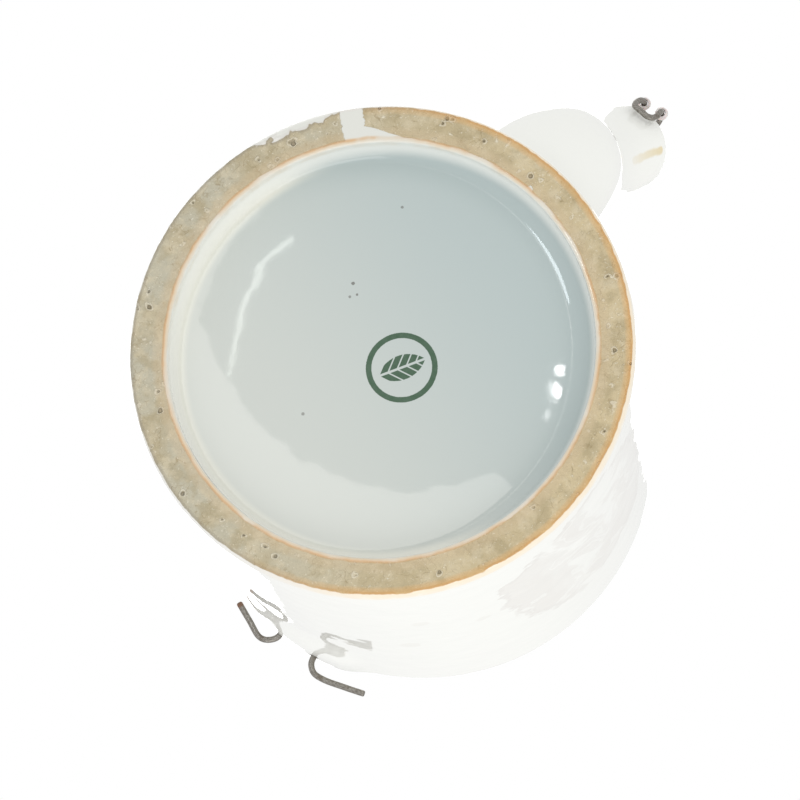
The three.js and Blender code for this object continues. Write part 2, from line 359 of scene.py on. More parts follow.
def make_spout_solid():
    """The spout as a solid whose root ends inside the wall, with a rounded lip and a blind bore."""
    last = mouth_index()
    grid = np.array([spout_ring(i, spout_radius[i]) for i in range(last + 1)])
    wall = np.hypot(grid[..., 0], grid[..., 1]) - (outer_radius(grid[..., 2]) - WALL / 2)
    count = 84
    rings = np.zeros((count, grid.shape[1], 3))
    for j in range(grid.shape[1]):
        inside = np.nonzero(wall[:, j] < 0)[0]
        i = inside[-1] if len(inside) else 0
        w = -wall[i, j] / (wall[i + 1, j] - wall[i, j])
        first = grid[i, j] * (1 - w) + grid[i + 1, j] * w
        rings[:, j] = resample(np.vstack([first, grid[i + 1 :, j]]), count)[0]
    outer, inner = rings[-1], spout_ring(last, spout_radius[last] - SPOUT_WALL)
    middle, half = (outer + inner) / 2, (outer - inner) / 2
    lift = np.array([mouth_normal[0], 0, mouth_normal[1]]) * LIP * 0.9
    lip = [middle + half * math.cos(a) + lift * math.sin(a) for a in np.radians(np.arange(15, 180, 15))]
    depth = last - 3 * PER_SPAN
    bore = [spout_ring(i, spout_radius[i] - SPOUT_WALL) for i in range(last, depth, -4)]
    return skin("spout", list(rings) + lip + bore), depth


def make_bore(depth):
    rings = [spout_ring(i, spout_radius[i] - SPOUT_WALL + 0.03, 80) for i in range(0, depth + 14, 5)]
    return skin("bore", rings)


def make_drill(x, y):
    turns = np.linspace(0, 2 * math.pi, 24, endpoint=False)
    circle = [(y + HOLE_RADIUS * math.cos(a), HOLE_Z + HOLE_RADIUS * math.sin(a)) for a in turns]
    return skin("drill", [[(x + reach, *point) for point in circle] for reach in (-DRILL_REACH, DRILL_REACH)])


def face_outwards(obj):
    edit_mesh(obj, lambda b: bmesh.ops.recalc_face_normals(b, faces=b.faces))


def combine(base, tool, operation):
    for o in (base, tool):
        face_outwards(o)
    modifier = base.modifiers.new("combine", "BOOLEAN")
    modifier.object, modifier.operation, modifier.solver = tool, operation, "EXACT"
    graph = bpy.context.evaluated_depsgraph_get()
    made = bpy.data.meshes.new_from_object(base.evaluated_get(graph))
    base.modifiers.clear()
    base.data = made
    bpy.data.objects.remove(tool)


def join_field(p):
    """Smooth union of wall and spout: below zero inside the clay."""
    wall = np.hypot(p[:, 0], p[:, 1]) - outer_radius(p[:, 2])
    across = np.hypot(p[:, None, 0] - spout_line[None, :, 0], p[:, None, 2] - spout_line[None, :, 1])
    away = np.hypot(across, p[:, None, 1] - spout_lean[None, :])
    nearest = away.argmin(1)
    rows = np.arange(len(p))
    # A parabola through the three nearest samples takes the steps out of the distance.
    k = np.clip(nearest, 1, len(spout_line) - 2)
    a, b, c = away[rows, k - 1], away[rows, k], away[rows, k + 1]
    bend = np.maximum(a - 2 * b + c, 1e-12)
    move = np.clip((a - c) / (2 * bend), -1, 1)
    distance = b - (a - c) * move / 4
    radius = np.interp(k + move, np.arange(len(spout_line)), spout_radius)
    pipe = distance - radius
    soft = ROOT_BLEND + (CROTCH_BLEND - ROOT_BLEND) * smoothstep(p[:, 2], CROTCH_FROM, CROTCH_TO)
    h = np.maximum(soft - np.abs(wall - pipe), 0) / soft
    return np.minimum(wall, pipe) - h * h * soft / 4, h


def slope(p):
    step = 0.01
    out = np.zeros_like(p)
    for k in range(3):
        d = np.zeros(3)
        d[k] = step
        out[:, k] = (join_field(p + d)[0] - join_field(p - d)[0]) / (2 * step)
    return out


def blend_root(obj):
    """Moves the points round the spout's root onto one flowing surface, and returns which they are."""
    co = np.zeros(len(obj.data.vertices) * 3)
    obj.data.vertices.foreach_get("co", co)
    p = co.reshape(-1, 3) / MM
    p[:, 0] -= AXIS_X / MM
    p[:, 2] -= GROUND_Z / MM
    outside = np.hypot(p[:, 0], p[:, 1]) - outer_radius(p[:, 2]) > -0.25
    beside = (p[:, 0] > ROOT_FROM_X) & (np.abs(p[:, 1]) < ROOT_HALF_WIDTH)
    level = (p[:, 2] > ROOT_LOW) & (p[:, 2] < ROOT_HIGH)
    ids = np.nonzero(outside & beside & level)[0]
    q = p[ids].copy()
    _, h = join_field(q)
    ids, q = ids[h > 0], q[h > 0]
    for _ in range(6):
        f, _ = join_field(q)
        g = slope(q)
        q -= g * (f / np.maximum((g * g).sum(1), 1e-6))[:, None]
    p[ids] = q
    obj.data.vertices.foreach_set("co", place(p).ravel())
    obj.data.update()
    return q


def make_jug():
    jug = make_pot()
    jug.name = "porcelain_jug"
    solid, depth = make_spout_solid()
    combine(jug, solid, "UNION")
    blended = blend_root(jug)
    combine(jug, make_bore(depth), "DIFFERENCE")
    for x in (-DRILL_X, DRILL_X):
        for y in (-HOLE_Y, HOLE_Y):
            combine(jug, make_drill(x, y), "DIFFERENCE")
    mesh = jug.data
    mesh.polygons.foreach_set("use_smooth", [True] * len(mesh.polygons))
    mesh.set_sharp_from_angle(angle=math.radians(42))
    polish_normals(mesh, blended)
    return jug


def polish_normals(mesh, blended):
    """Exact shading normals over the blended root; everywhere else the mesh's own."""
    keys = {tuple(k): n for k, n in zip(np.round(place(blended), 7).tolist(), unit(slope(blended)).tolist())}
    exact = [keys.get(tuple(round(c, 7) for c in v.co)) for v in mesh.vertices]
    loops = [exact[l.vertex_index] or (0.0, 0.0, 0.0) for l in mesh.loops]
    mesh.normals_split_custom_set(loops)


# ---- handle, binding, wires and beads ----


def handle_line(count):
    """Centreline of the overhead handle in the XZ plane, with how far along it each point is."""
    rise = STRAP_TOP_Z - STRAP_SPRING_Z
    middle = (STRAP_FOOT_Z + STRAP_SPRING_Z) / 2
    over = [(STRAP_X * math.cos(a), STRAP_SPRING_Z + rise * math.sin(a)) for a in np.linspace(math.pi, 0, 13)]
    ends = [(-STRAP_X, STRAP_FOOT_Z), (-STRAP_X, middle)], [(STRAP_X, middle), (STRAP_X, STRAP_FOOT_Z)]
    return resample(catmull(ends[0] + over + ends[1], 20), count)


def frames_of(line):
    """Tangent and outward direction, in 3-D, along a line in the XZ plane."""
    t = unit(np.gradient(line, axis=0))
    flat = np.zeros(len(line))
    return np.stack([t[:, 0], flat, t[:, 1]], 1), np.stack([-t[:, 1], flat, t[:, 0]], 1)


def make_strap():
    """Split bamboo: a convex skin outside, flatter inside, and a raised ring at each node."""
    count, sides = 240, 36
    line, along = handle_line(count)
    outs = frames_of(line)[1]
    turns = np.linspace(0, 2 * math.pi, sides, endpoint=False)
    c, s = np.cos(turns), np.sin(turns)
    y, up = signed_power(c, 0.55), signed_power(s, np.where(s > 0, 0.85, 0.5))
    total = along[-1]
    rings, values = [], []
    for p, out, at in zip(line, outs, along):
        grow = 1.0
        for node in BAMBOO_NODES:
            d = at - node * total
            grow += 0.10 * math.exp(-((d / 0.45) ** 2)) - 0.07 * math.exp(-(((d - 1.0) / 0.5) ** 2))
        end = min(at, total - at)
        grow *= 1 - 0.12 * max(0, 1 - end / 0.5) ** 2
        base = np.array([p[0], 0, p[1]])
        width = STRAP_WIDTH / 2 * 0.98 * (grow + 1) / 2
        thick = STRAP_THICKNESS / 2 * 0.92 * grow
        rings.append([base + out * thick * u + np.array([0, width * w, 0]) for w, u in zip(y, up)])
        values += [at] * sides
    obj = skin("bamboo_handle", rings)
    set_along(obj, values + [0.0, total])
    return obj


def make_binding():
    """One long split-cane strip, wound edge to edge round the handle."""
    line, along = handle_line(900)
    tangents, outs = frames_of(line)
    total = along[-1]
    start, stop = GRIP_FROM * total + CANE_WIDTH / 2, GRIP_TO * total - CANE_WIDTH / 2
    count = round((stop - start) / CANE_PITCH)
    per_turn = 28
    steps = per_turn * count
    half_y, half_up = STRAP_WIDTH / 2 + 0.22, STRAP_THICKNESS / 2 + 0.26
    half_dome = [(0.3, 0.9), (0.47, 0.55), (0.5, 0.0)]  # across and up, as shares of the cane's own size
    dome = [(-w, h) for w, h in half_dome[::-1]] + [(0.0, 1.0)] + half_dome + [(0.2, -0.1), (-0.2, -0.1)]
    rings, values = [], []
    for i in range(steps + 1):
        turn = i / per_turn
        at = start + (stop - start) * i / steps
        centre = np.array([np.interp(at, along, line[:, 0]), 0, np.interp(at, along, line[:, 1])])
        t = unit([np.interp(at, along, tangents[:, k]) for k in range(3)])
        out = unit([np.interp(at, along, outs[:, k]) for k in range(3)])
        a = 2 * math.pi * turn + 3.9
        c, s = math.cos(a), math.sin(a)
        tuck = min(turn, count - turn)
        sink = 0.30 * max(0.0, 1 - tuck / 0.35)
        y, up = (half_y - sink) * signed_power(c, 0.7), (half_up - sink) * signed_power(s, 0.8)
        sideways = np.array([0, signed_power(c, 1.1) * half_up, 0])
        normal = unit(out * signed_power(s, 1.1) * half_y + sideways)
        base = centre + out * up + np.array([0, y, 0])
        width = CANE_WIDTH * (1 + 0.05 * math.sin(turn * 2.3) + 0.03 * math.sin(turn * 5.1 + 1))
        lift = CANE_THICKNESS * (1 + 0.10 * math.sin(turn * 1.7 + 0.6) + 0.05 * math.sin(turn * 9.1))
        drift = 0.05 * math.sin(turn * 3.1)
        rings.append([base + t * (w * width + drift) + normal * h * lift for w, h in dome])
        values += [turn] * len(dome)
    obj = skin("cane_binding", rings)
    set_along(obj, values + [0.0, float(count)])
    return obj


def rear_staple_path():
    crown = -STAPLE_X
    flat = [
        (-34.95, -11.3), (-36.4, -8.4), (-37.7, -5.7), (-37.5, -4.5), (-36.5, -3.4), (-35.2, -HOLE_Y),
        (-32.0, -HOLE_Y), (crown - 0.8, -HOLE_Y), (crown, -HOLE_Y + 0.8), (crown, 0.0), (crown, HOLE_Y - 0.8),
        (crown - 0.8, HOLE_Y), (-32.0, HOLE_Y), (-35.2, HOLE_Y), (-36.9, 3.4), (-37.9, 4.5), (-38.0, 6.2),
        (-37.3, 9.6), (-36.5, 12.9),
    ]
    return [(x, y, HOLE_Z) for x, y in flat]


def front_staple_path():
    crown = STAPLE_X
    half = [
        (crown, 0.0), (crown, HOLE_Y - 0.8), (crown + 0.8, HOLE_Y), (32.0, HOLE_Y), (35.4, HOLE_Y),
        (36.6, 3.5), (37.1, 4.6), (36.9, 6.2), (36.4, 8.8),
    ]
    return [(x, -y, HOLE_Z) for x, y in half[:0:-1]] + [(x, y, HOLE_Z) for x, y in half]


def clip_path():
    """From one end of the wire over the lip and down a leg, along the bar, and back up the other leg."""
    bar_x, bar_z = 62.95, 58.1

    def leg(side):
        askew = -0.15 * side
        return [
            (bar_x + askew, side * 0.9, bar_z), (63.15 + askew, side * 1.6, 58.3),
            (63.95 + askew, side * 1.95, 59.2), (65.0, side * 1.85, 60.3), (BEAD_X, side * BEAD_Y, 61.6),
            (BEAD_X, side * BEAD_Y, 62.9), (65.3, side * BEAD_Y, 64.1), (64.5, side * BEAD_Y, 64.6),
            (63.5, side * 1.5, 64.3), (62.5, side * 1.4, 63.7), (61.6, side * 1.2, 62.9),
            (60.9, side * 1.1, 61.8),
        ]

    return leg(-1)[::-1] + [(bar_x, 0.0, bar_z)] + leg(1)


def make_bead(name, side):
    """A small moulded bead, slightly flattened, with a rounded bore."""
    top = math.acos((BEAD_HOLE + 0.08) / BEAD_RADIUS)
    turns = np.linspace(-top, top, 15)
    outside = [(BEAD_RADIUS * math.cos(a), BEAD_RADIUS * 0.97 * math.sin(a)) for a in turns]
    edge = outside[-1][1]
    bore = [(BEAD_HOLE, edge - 0.08), (BEAD_HOLE, 0.0), (BEAD_HOLE, 0.08 - edge)]
    rings = []
    for a in np.linspace(0, 2 * math.pi, 40, endpoint=False):
        wobble = 1 + 0.012 * math.sin(2 * a + side)
        rings.append([
            (BEAD_X + r * wobble * math.cos(a), side * BEAD_Y + r * wobble * math.sin(a), BEAD_Z + z)
            for r, z in outside + bore
        ])
    rings.append(rings[0])
    obj = skin(name, rings, caps=False)
    edit_mesh(obj, lambda b: bmesh.ops.remove_doubles(b, verts=b.verts, dist=1e-7))
    return obj


PIECES = [  # piece, the CAD node that it stands for, material slot
    (make_jug(), "jug_body", "porcelain"),
    (make_strap(), "handle_strap", "bamboo"),
    (make_binding(), "grip_binding", "cane"),
    (tube("rear_staple_wire", rear_staple_path(), WIRE_RADIUS), "rear_staple", "steel_wire"),
    (tube("front_staple_wire", front_staple_path(), WIRE_RADIUS), "front_staple", "steel_wire"),
    (tube("spout_clip_wire", clip_path(), WIRE_RADIUS), "spout_clip", "steel_wire"),
    (make_bead("bead_left", 1), "clip_bead_left", "bead"),
    (make_bead("bead_right", -1), "clip_bead_right", "bead"),
]
for piece, node, slot in PIECES:
    if node != "jug_body":  # its booleans have already turned it outwards
        face_outwards(piece)
    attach(piece, "root")
    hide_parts(node)

# ---- material helpers ----


class Nodes:
    """The nodes of a material or world. Numbers, colours and sockets can be mixed freely as inputs."""

    def __init__(self, owner):
        owner.use_nodes = True
        self.tree = owner.node_tree
        self.tree.nodes.clear()

    def put(self, socket, value):
        if isinstance(value, bpy.types.NodeSocket):
            self.tree.links.new(value, socket)
        elif socket.type == "RGBA" and len(value) == 3:
            socket.default_value = (*value, 1.0)
        else:
            socket.default_value = value

    def node(self, kind, inputs, **settings):
        """A new node with these settings and inputs, the inputs by name or number. Returns its outputs."""
        n = self.tree.nodes.new("ShaderNode" + kind)
        for name, value in settings.items():
            setattr(n, name, value)
        for key, value in inputs.items():
            self.put(n.inputs[key], value)
        return n.outputs

    def mix(self, amount, a, b):
        """From colour a to colour b."""
        return self.node("Mix", {0: amount, 6: a, 7: b}, data_type="RGBA")[2]


class Graph(Nodes):
    """A piece's material, whose places are in millimetres about the jug's own axis."""

    def __init__(self, name):
        self.material = bpy.data.materials.new(name)
        super().__init__(self.material)
        self.shader = self.tree.nodes.new("ShaderNodeBsdfPrincipled")
        self.node("OutputMaterial", {0: self.shader.outputs[0]})
        moved = self.vector("SUBTRACT", self.node("TexCoord", {})["Object"], (AXIS_X, 0, GROUND_Z))
        self.pos = self.vector("SCALE", moved, scale=1 / MM)
        self.x, self.y, self.z = self.node("SeparateXYZ", {0: self.pos})

    def math(self, operation, a, b=0.0, clamp=False):
        return self.node("Math", {0: a, 1: b}, operation=operation, use_clamp=clamp)[0]

    def vector(self, operation, a, b=(0, 0, 0), scale=1.0):
        outputs = self.node("VectorMath", {0: a, 1: b, 3: scale}, operation=operation)
        return outputs["Value" if operation in ("DISTANCE", "DOT_PRODUCT") else "Vector"]

    def add(self, *terms):
        total = terms[0]
        for t in terms[1:]:
            total = self.math("ADD", total, t)
        return total

    def sub(self, a, b):
        return self.math("SUBTRACT", a, b)

    def mul(self, *terms):
        total = terms[0]
        for t in terms[1:]:
            total = self.math("MULTIPLY", total, t)
        return total

    def inverse(self, a):
        return self.math("SUBTRACT", 1.0, a, clamp=True)

    def rise(self, value, low, high):
        """0 below low, 1 above high, smooth between."""
        inputs = {"Value": value, "From Min": low, "From Max": high}
        return self.node("MapRange", inputs, interpolation_type="SMOOTHSTEP")[0]

    def fall(self, value, low, high):
        """1 below low, 0 above high, smooth between."""
        return self.inverse(self.rise(value, low, high))

    def sway(self, noise, amount):
        """A noise as a shift to either side of zero, amount wide in all."""
        return self.mul(self.sub(noise, 0.5), amount)

    def size(self, a):
        return self.math("ABSOLUTE", a)

    def length(self, a, b):
        return self.math("SQRT", self.add(self.mul(a, a), self.mul(b, b)))

    def radius(self):
        return self.length(self.x, self.y)

    def azimuth(self):
        return self.mul(self.math("ARCTAN2", self.y, self.x), 180 / math.pi)

    def bump_at(self, value, centre, width):
        """1 at centre, fading to 0 at width to either side."""
        d = self.math("DIVIDE", self.sub(value, centre), width)
        return self.inverse(self.math("MULTIPLY", d, d))

    def noise(self, scale, detail=3.0, roughness=0.55, shift=None, where=None, warp=0.0):
        """Soft noise round 0.5, read at the piece's own points, at those moved by shift, or at where."""
        if shift:
            where = self.vector("ADD", self.pos, shift)
        inputs = {"Vector": where or self.pos, "Scale": scale, "Detail": detail}
        return self.node("TexNoise", inputs | {"Roughness": roughness, "Distortion": warp})[0]

    def cells(self, scale):
        """Distance to the nearest of many scattered points."""
        return self.node("TexVoronoi", {"Vector": self.pos, "Scale": scale})["Distance"]

    def blend(self, amount, a, b):
        """From number a to number b."""
        return self.node("Mix", {0: amount, 2: a, 3: b})[0]

    def coats(self, colour, *coats):
        """Coats laid over a colour in turn: where each one is, how strong it is, and its display colour."""
        for where, strength, shade in coats:
            colour = self.mix(self.mul(where, strength), colour, srgb(*shade))
        return colour

    def along(self):
        return self.node("Attribute", {}, attribute_name="along")["Fac"]

    def near(self, point, radius, edge, rough):
        """1 within radius of a point, fading over edge; rough shifts the edge."""
        d = self.add(self.vector("DISTANCE", self.pos, point), rough)
        return self.fall(d, radius, radius + edge)

    def near_line(self, start, end, radius, edge, rough):
        """Like near(), for a straight line; also how far along the line, from 0 to 1."""
        run = tuple(b - a for a, b in zip(start, end))
        offset = self.vector("SUBTRACT", self.pos, start)
        dot = self.vector("DOT_PRODUCT", offset, run)
        share = self.math("DIVIDE", dot, sum(c * c for c in run), clamp=True)
        d = self.vector("DISTANCE", offset, self.vector("SCALE", run, scale=share))
        return self.fall(self.add(d, rough), radius, radius + edge), share

    def combine(self, x, y, z):
        return self.node("CombineXYZ", {0: x, 1: y, 2: z})[0]

    def bump(self, height, distance_mm, below=None):
        """A normal for height, on top of the normal below it."""
        inputs = {"Height": height, "Distance": distance_mm * MM}
        return self.node("Bump", inputs if below is None else inputs | {"Normal": below})[0]

    def finish(self, **values):
        for name, value in values.items():
            self.put(self.shader.inputs[name.replace("_", " ")], value)
        return self.material


def srgb(r, g, b):
    """An 8-bit display colour as the linear colour that a shader takes."""
    return tuple(c / 255 / 12.92 if c <= 10 else ((c / 255 + 0.055) / 1.055) ** 2.4 for c in (r, g, b))


# ---- materials ----


def foot_edges(g, radius, patchy, fine, apart):
    """The unglazed ring that the jug stands on: its inner and outer edge lines, and where it is bare."""
    angle = g.azimuth()
    inner_line_at = g.add(FOOT_INNER + 0.65, g.sway(patchy, 0.5))
    past_gap = g.rise(angle, GAP_AZIMUTH - 1, GAP_AZIMUTH + 1)
    wedge = g.mul(g.inverse(g.math("DIVIDE", g.sub(angle, GAP_AZIMUTH), WEDGE_DEGREES)), past_gap)
    inner = g.add(inner_line_at, g.mul(wedge, WEDGE_DEPTH))
    scallops = g.mul(g.rise(angle, *SCALLOPS_FROM), g.fall(angle, *SCALLOPS_TO))
    scallops = g.mul(scallops, g.rise(g.noise(0.42, 2, shift=(3, 0, 8)), 0.38, 0.62))
    from_margin = g.math("COSINE", g.mul(g.sub(angle, MARGIN_AZIMUTH), math.pi / 180))
    margin = g.mul(g.rise(from_margin, -0.2, 0.6), 0.10)
    outer = g.sub(FOOT_OUTER - 0.08, g.add(g.mul(g.sub(apart, 0.38), 0.55), g.mul(scallops, 1.15), margin))
    ring = g.mul(g.rise(radius, g.sub(inner, 0.06), g.add(inner, 0.06)), g.fall(g.z, 0.5, 0.62))
    ring = g.mul(ring, g.fall(radius, g.sub(outer, 0.07), g.add(outer, 0.07)))
    across_gap = g.add(g.size(g.sub(angle, GAP_AZIMUTH)), g.sway(fine, 1.8), g.sway(patchy, 3.0))
    run = g.fall(across_gap, GAP_HALF_DEGREES - 0.15, GAP_HALF_DEGREES + 0.15)
    chip = g.near(GLAZE_CHIP, 0.55, 0.1, g.sway(fine, 1.2))
    return inner_line_at, outer, g.mul(ring, g.inverse(run), g.inverse(chip))


def bisque(g, broad, patchy, grain, apart):
    """Beige clay, greyer behind, mottled, with grit, and pits in painted shade with painted highlights on
    their rims. Also where the pits and their rims are.
    """
    side = g.rise(g.add(g.mul(g.x, 0.45), g.mul(g.y, 0.9), g.sway(broad, 24)), -26, 22)
    worm = g.noise(0.55, 2, 0.4, shift=(1, 22, 5), warp=0.7)
    worms = g.mul(g.bump_at(worm, 0.5, 0.016), g.rise(g.noise(0.3, 2, shift=(8, 3, 30)), 0.42, 0.6))
    grit = g.noise(3.6, 3, 0.6, shift=(9, 4, 1))
    pit_distance = g.cells(0.55)
    pit_size = g.mul(g.rise(g.noise(0.45, 2), 0.45, 0.75), 0.30)
    large_enough = g.rise(pit_size, 0.05, 0.1)
    pits = g.mul(g.fall(pit_distance, g.mul(pit_size, 0.6), g.add(pit_size, 0.02)), large_enough)
    pit_rims = g.mul(g.bump_at(pit_distance, g.add(pit_size, 0.10), 0.08), large_enough)
    clay = g.coats(
        g.mix(side, srgb(190, 184, 163), srgb(206, 189, 152)),
        (g.rise(broad, 0.42, 0.60), 0.5, (182, 166, 130)),
        (g.rise(patchy, 0.46, 0.62), 0.55, (172, 157, 122)),
        (g.rise(apart, 0.46, 0.70), 0.5, (218, 205, 176)),
        (worms, 0.55, (148, 128, 92)),
        (g.rise(grain, 0.56, 0.70), 0.35, (152, 139, 112)),
        (g.rise(grit, 0.62, 0.70), 0.55, (240, 235, 220)),
        # painted shade in the pits, and painted highlights on their rims
        (pits, 0.6, (112, 99, 78)),
        (pit_rims, 0.5, (236, 228, 208)),
    )
    return g.vector("SCALE", clay, scale=1.09), pits, pit_rims


def glaze_colour(g, radius, broad):
    """Warm white outside; in the recess, cooler pooled glaze with painted shade and painted light. Also where
    the recess is.
    """
    under = g.mul(g.fall(radius, FOOT_INNER - 1.2, FOOT_INNER + 0.3), g.fall(g.z, 5.2, 5.8))
    glaze = g.mix(g.mul(broad, 0.5), srgb(250, 250, 245), srgb(247, 248, 242))
    across = g.add(g.mul(g.x, 0.92), g.mul(g.y, 0.38))
    # pooled glaze in the recess, darkened with painted shade that deepens across towards one side
    pooled_and_painted_shading = g.mix(g.rise(across, -24, 27), POOLED_SHADED_PALE, POOLED_SHADED_DEEP)
    # painted shade: a darker teal in the corner of the recess on the deeper side
    corner = g.rise(radius, FOOT_INNER - 6, FOOT_INNER - 0.5)
    pooled_and_painted_shading = g.mix(g.mul(corner, g.rise(across, -2, 16), 0.5), pooled_and_painted_shading, srgb(168, 182, 182))
    # painted light: a pale band in the corner of the recess on the other side
    lit_side = g.fall(g.add(g.mul(g.x, 0.85), g.mul(g.y, 0.53)), -6, 6)
    painted_light = g.mul(g.rise(radius, FOOT_INNER - 2.4, FOOT_INNER - 0.9), lit_side)
    pooled_and_painted_shading = g.mix(painted_light, pooled_and_painted_shading, srgb(233, 233, 222))
    return g.mix(under, glaze, pooled_and_painted_shading), under


def porcelain():
    g = Graph("porcelain_glaze")
    radius = g.radius()
    broad, patchy = g.noise(0.09, 3), g.noise(0.35, 4)
    fine, grain = g.noise(1.6, 5, 0.65), g.noise(5.5, 4, 0.7)
    apart = g.noise(0.5, 3, shift=(40, 7, 3))
    inner_line_at, outer, bare = foot_edges(g, radius, patchy, fine, apart)
    clay, pits, pit_rims = bisque(g, broad, patchy, grain, apart)
    glaze, under = glaze_colour(g, radius, broad)

    # Iron stain where the glaze ends: a thin orange line inside, a wavy one outside. The outer edge is a
    # darker grey on the side away from the spout.
    stain_strength = g.rise(g.noise(0.16, 3), 0.32, 0.58)
    inner_line = g.mul(g.bump_at(radius, inner_line_at, 0.26), g.add(0.12, g.mul(stain_strength, 0.75)))
    toward_spout = g.rise(g.add(g.mul(g.x, 0.35), g.mul(g.y, 0.9)), -18, 8)
    outer_line = g.mul(g.bump_at(radius, g.sub(outer, 0.12), 0.30), toward_spout, g.rise(apart, 0.36, 0.5))
    clay = g.coats(
        clay,
        (g.bump_at(radius, g.add(inner_line_at, 0.5), 1.2), 0.45, (214, 193, 158)),
        (g.mul(g.bump_at(radius, g.sub(outer, 0.2), 0.9), toward_spout), 0.6, (226, 178, 112)),
        (g.mul(g.bump_at(radius, outer, 0.5), g.inverse(toward_spout)), 0.42, (138, 130, 118)),
        (outer_line, 0.6, (212, 160, 98)),
    )

    # The glaze thins over the ring's edges and takes up some of the stain.
    low = g.fall(g.z, 1.2, 2.4)
    past_inner = g.rise(radius, FOOT_INNER - 0.2, FOOT_INNER + 0.3)
    on_ring = g.mul(past_inner, g.fall(radius, FOOT_OUTER - 0.5, FOOT_OUTER))
    halo = g.mul(g.bump_at(radius, g.sub(inner_line_at, 0.15), 0.55), low)
    halo_strength = g.add(0.3, g.mul(stain_strength, 0.5))
    outer_halo = g.mul(g.bump_at(radius, g.add(outer, 0.15), 0.4), low)
    outer_halo_strength = g.add(0.3, g.mul(toward_spout, 0.4))
    outer_halo_colour = g.mix(toward_spout, srgb(206, 198, 194), srgb(246, 226, 194))
    glaze = g.coats(
        glaze, (g.mul(on_ring, low), 0.7, (214, 214, 206)), (halo, halo_strength, (222, 196, 158))
    )
    glaze = g.mix(g.mul(outer_halo, outer_halo_strength), glaze, outer_halo_colour)
    glaze = mark(g, decorate(g, glaze, fine, patchy), under)

    colour = g.coats(g.mix(bare, glaze, clay), (g.mul(inner_line, low), 0.62, (214, 160, 100)))
    roughness = g.blend(bare, g.add(0.012, g.mul(patchy, 0.02)), g.add(0.72, g.mul(grain, 0.2)))
    dents = g.add(g.mul(pits, -1.1), g.mul(pit_rims, 0.3))
    height = g.add(g.mul(grain, 0.4), g.mul(fine, 0.6), g.mul(apart, 1.2), dents)
    rough_bump = g.bump(g.mul(height, bare), 0.30)
    edge_bump = g.bump(g.inverse(bare), 0.03, below=rough_bump)
    ripple = g.add(g.noise(0.06, 2), g.mul(g.noise(0.25, 2), 0.12))
    waves = g.mul(ripple, g.inverse(bare), g.blend(under, 1.0, 0.1))
    return g.finish(Base_Color=colour, Roughness=roughness, IOR=1.52, Normal=g.bump(waves, 0.18, edge_bump))


def decorate(g, glaze, fine, patchy):
    """A faded leafy wash on the +Y side, faint spots, a dribble under the lip, and stray kiln specks."""
    outside = g.rise(g.radius(), 34.0, 34.4)
    shift = g.sway(g.noise(0.10, 4, 0.6), 26)
    ragged = g.sway(g.noise(0.55, 4, 0.6), 0.30)
    u = g.mul(g.sub(g.azimuth(), WASH_AZIMUTH), WALL_MM_PER_DEGREE)
    v = g.sub(g.z, WASH_Z)
    reach_u = g.math("DIVIDE", g.add(u, g.mul(shift, 0.5)), WASH_HALF_WIDTH)
    reach_v = g.math("DIVIDE", g.sub(v, g.mul(shift, 0.35)), WASH_HALF_HEIGHT)
    reach = g.add(g.length(reach_u, reach_v), ragged)
    wash = g.fall(reach, 0.92, 0.99)
    leaf_where = g.combine(g.add(g.mul(u, 0.8), g.mul(v, 0.5)), g.sub(g.mul(v, 0.4), g.mul(u, 0.3)), 3.0)
    blobs = g.noise(0.12, 4, 0.55, where=leaf_where, warp=0.5)
    veins = g.bump_at(g.noise(0.16, 3, 0.5, where=leaf_where, warp=0.6), 0.5, 0.025)
    leaves = g.mul(outside, g.rise(blobs, 0.40, 0.46))
    tone = g.mul(wash, leaves, g.add(0.65, g.mul(g.rise(blobs, 0.46, 0.62), 0.35)))
    tone = g.mul(tone, g.inverse(g.mul(veins, 0.7)))
    edge = g.mul(g.bump_at(reach, 0.93, 0.06), leaves)
    glaze = g.coats(glaze, (tone, 0.8, (235, 232, 226)), (edge, 0.3, (222, 218, 212)))
    for azimuth, height, size in FADED_SPOTS:
        a = math.radians(azimuth)
        point = (WALL_RADIUS * math.cos(a), WALL_RADIUS * math.sin(a), height)
        spot = g.near(point, size, 0.6, g.sway(fine, 1.5))
        glaze = g.coats(glaze, (spot, 0.3, (232, 228, 220)))
    drip, along = g.near_line(*DRIP, 0.38, 0.5, g.sway(patchy, 0.9))
    glaze = g.coats(glaze, (drip, g.sub(0.75, g.mul(along, 0.55)), (230, 208, 150)))
    for x, y, size, depth in KILN_SPECKS:
        spot = g.near((x, y, RECESS), size, 0.08, g.sway(g.noise(4.0, 2), 0.25))
        glaze = g.coats(glaze, (spot, depth, (96, 92, 84)))
    return glaze


def mark(g, glaze, under):
    """A plain printed mark: a leaf in a ring, with a midrib and slanting veins left pale."""
    dx, dy = g.sub(g.x, MARK[0]), g.sub(g.y, MARK[1])
    c, s = math.cos(math.radians(MARK_TURN)), math.sin(math.radians(MARK_TURN))
    u = g.add(g.mul(dx, c), g.mul(dy, s))
    v = g.sub(g.mul(dy, c), g.mul(dx, s))
    ragged = g.sway(g.noise(3.5, 2), 0.10)
    off_ring = g.size(g.sub(g.length(u, v), MARK_RING_RADIUS))
    ring = g.fall(g.add(off_ring, ragged), 0.36, 0.44)

    def from_disc(side):
        return g.sub(g.length(u, g.sub(v, side * LEAF_OFFSET)), LEAF_RADIUS)

    leaf = g.fall(g.add(g.math("MAXIMUM", from_disc(1), from_disc(-1)), ragged), -0.04, 0.04)
    midrib = g.fall(g.size(v), 0.14, 0.20)
    slanted = g.add(g.mul(g.sub(u, g.mul(g.size(v), 0.9)), 0.72), 10.0)
    ribs = g.fall(g.size(g.sub(g.math("FRACT", slanted), 0.5)), 0.07, 0.11)
    leaf = g.mul(leaf, g.inverse(g.math("MAXIMUM", midrib, ribs)))
    ink = g.mul(g.math("MAXIMUM", ring, leaf), under, g.add(0.86, g.mul(g.noise(1.3, 4), 0.14)))
    return g.mix(ink, glaze, srgb(40, 82, 50))


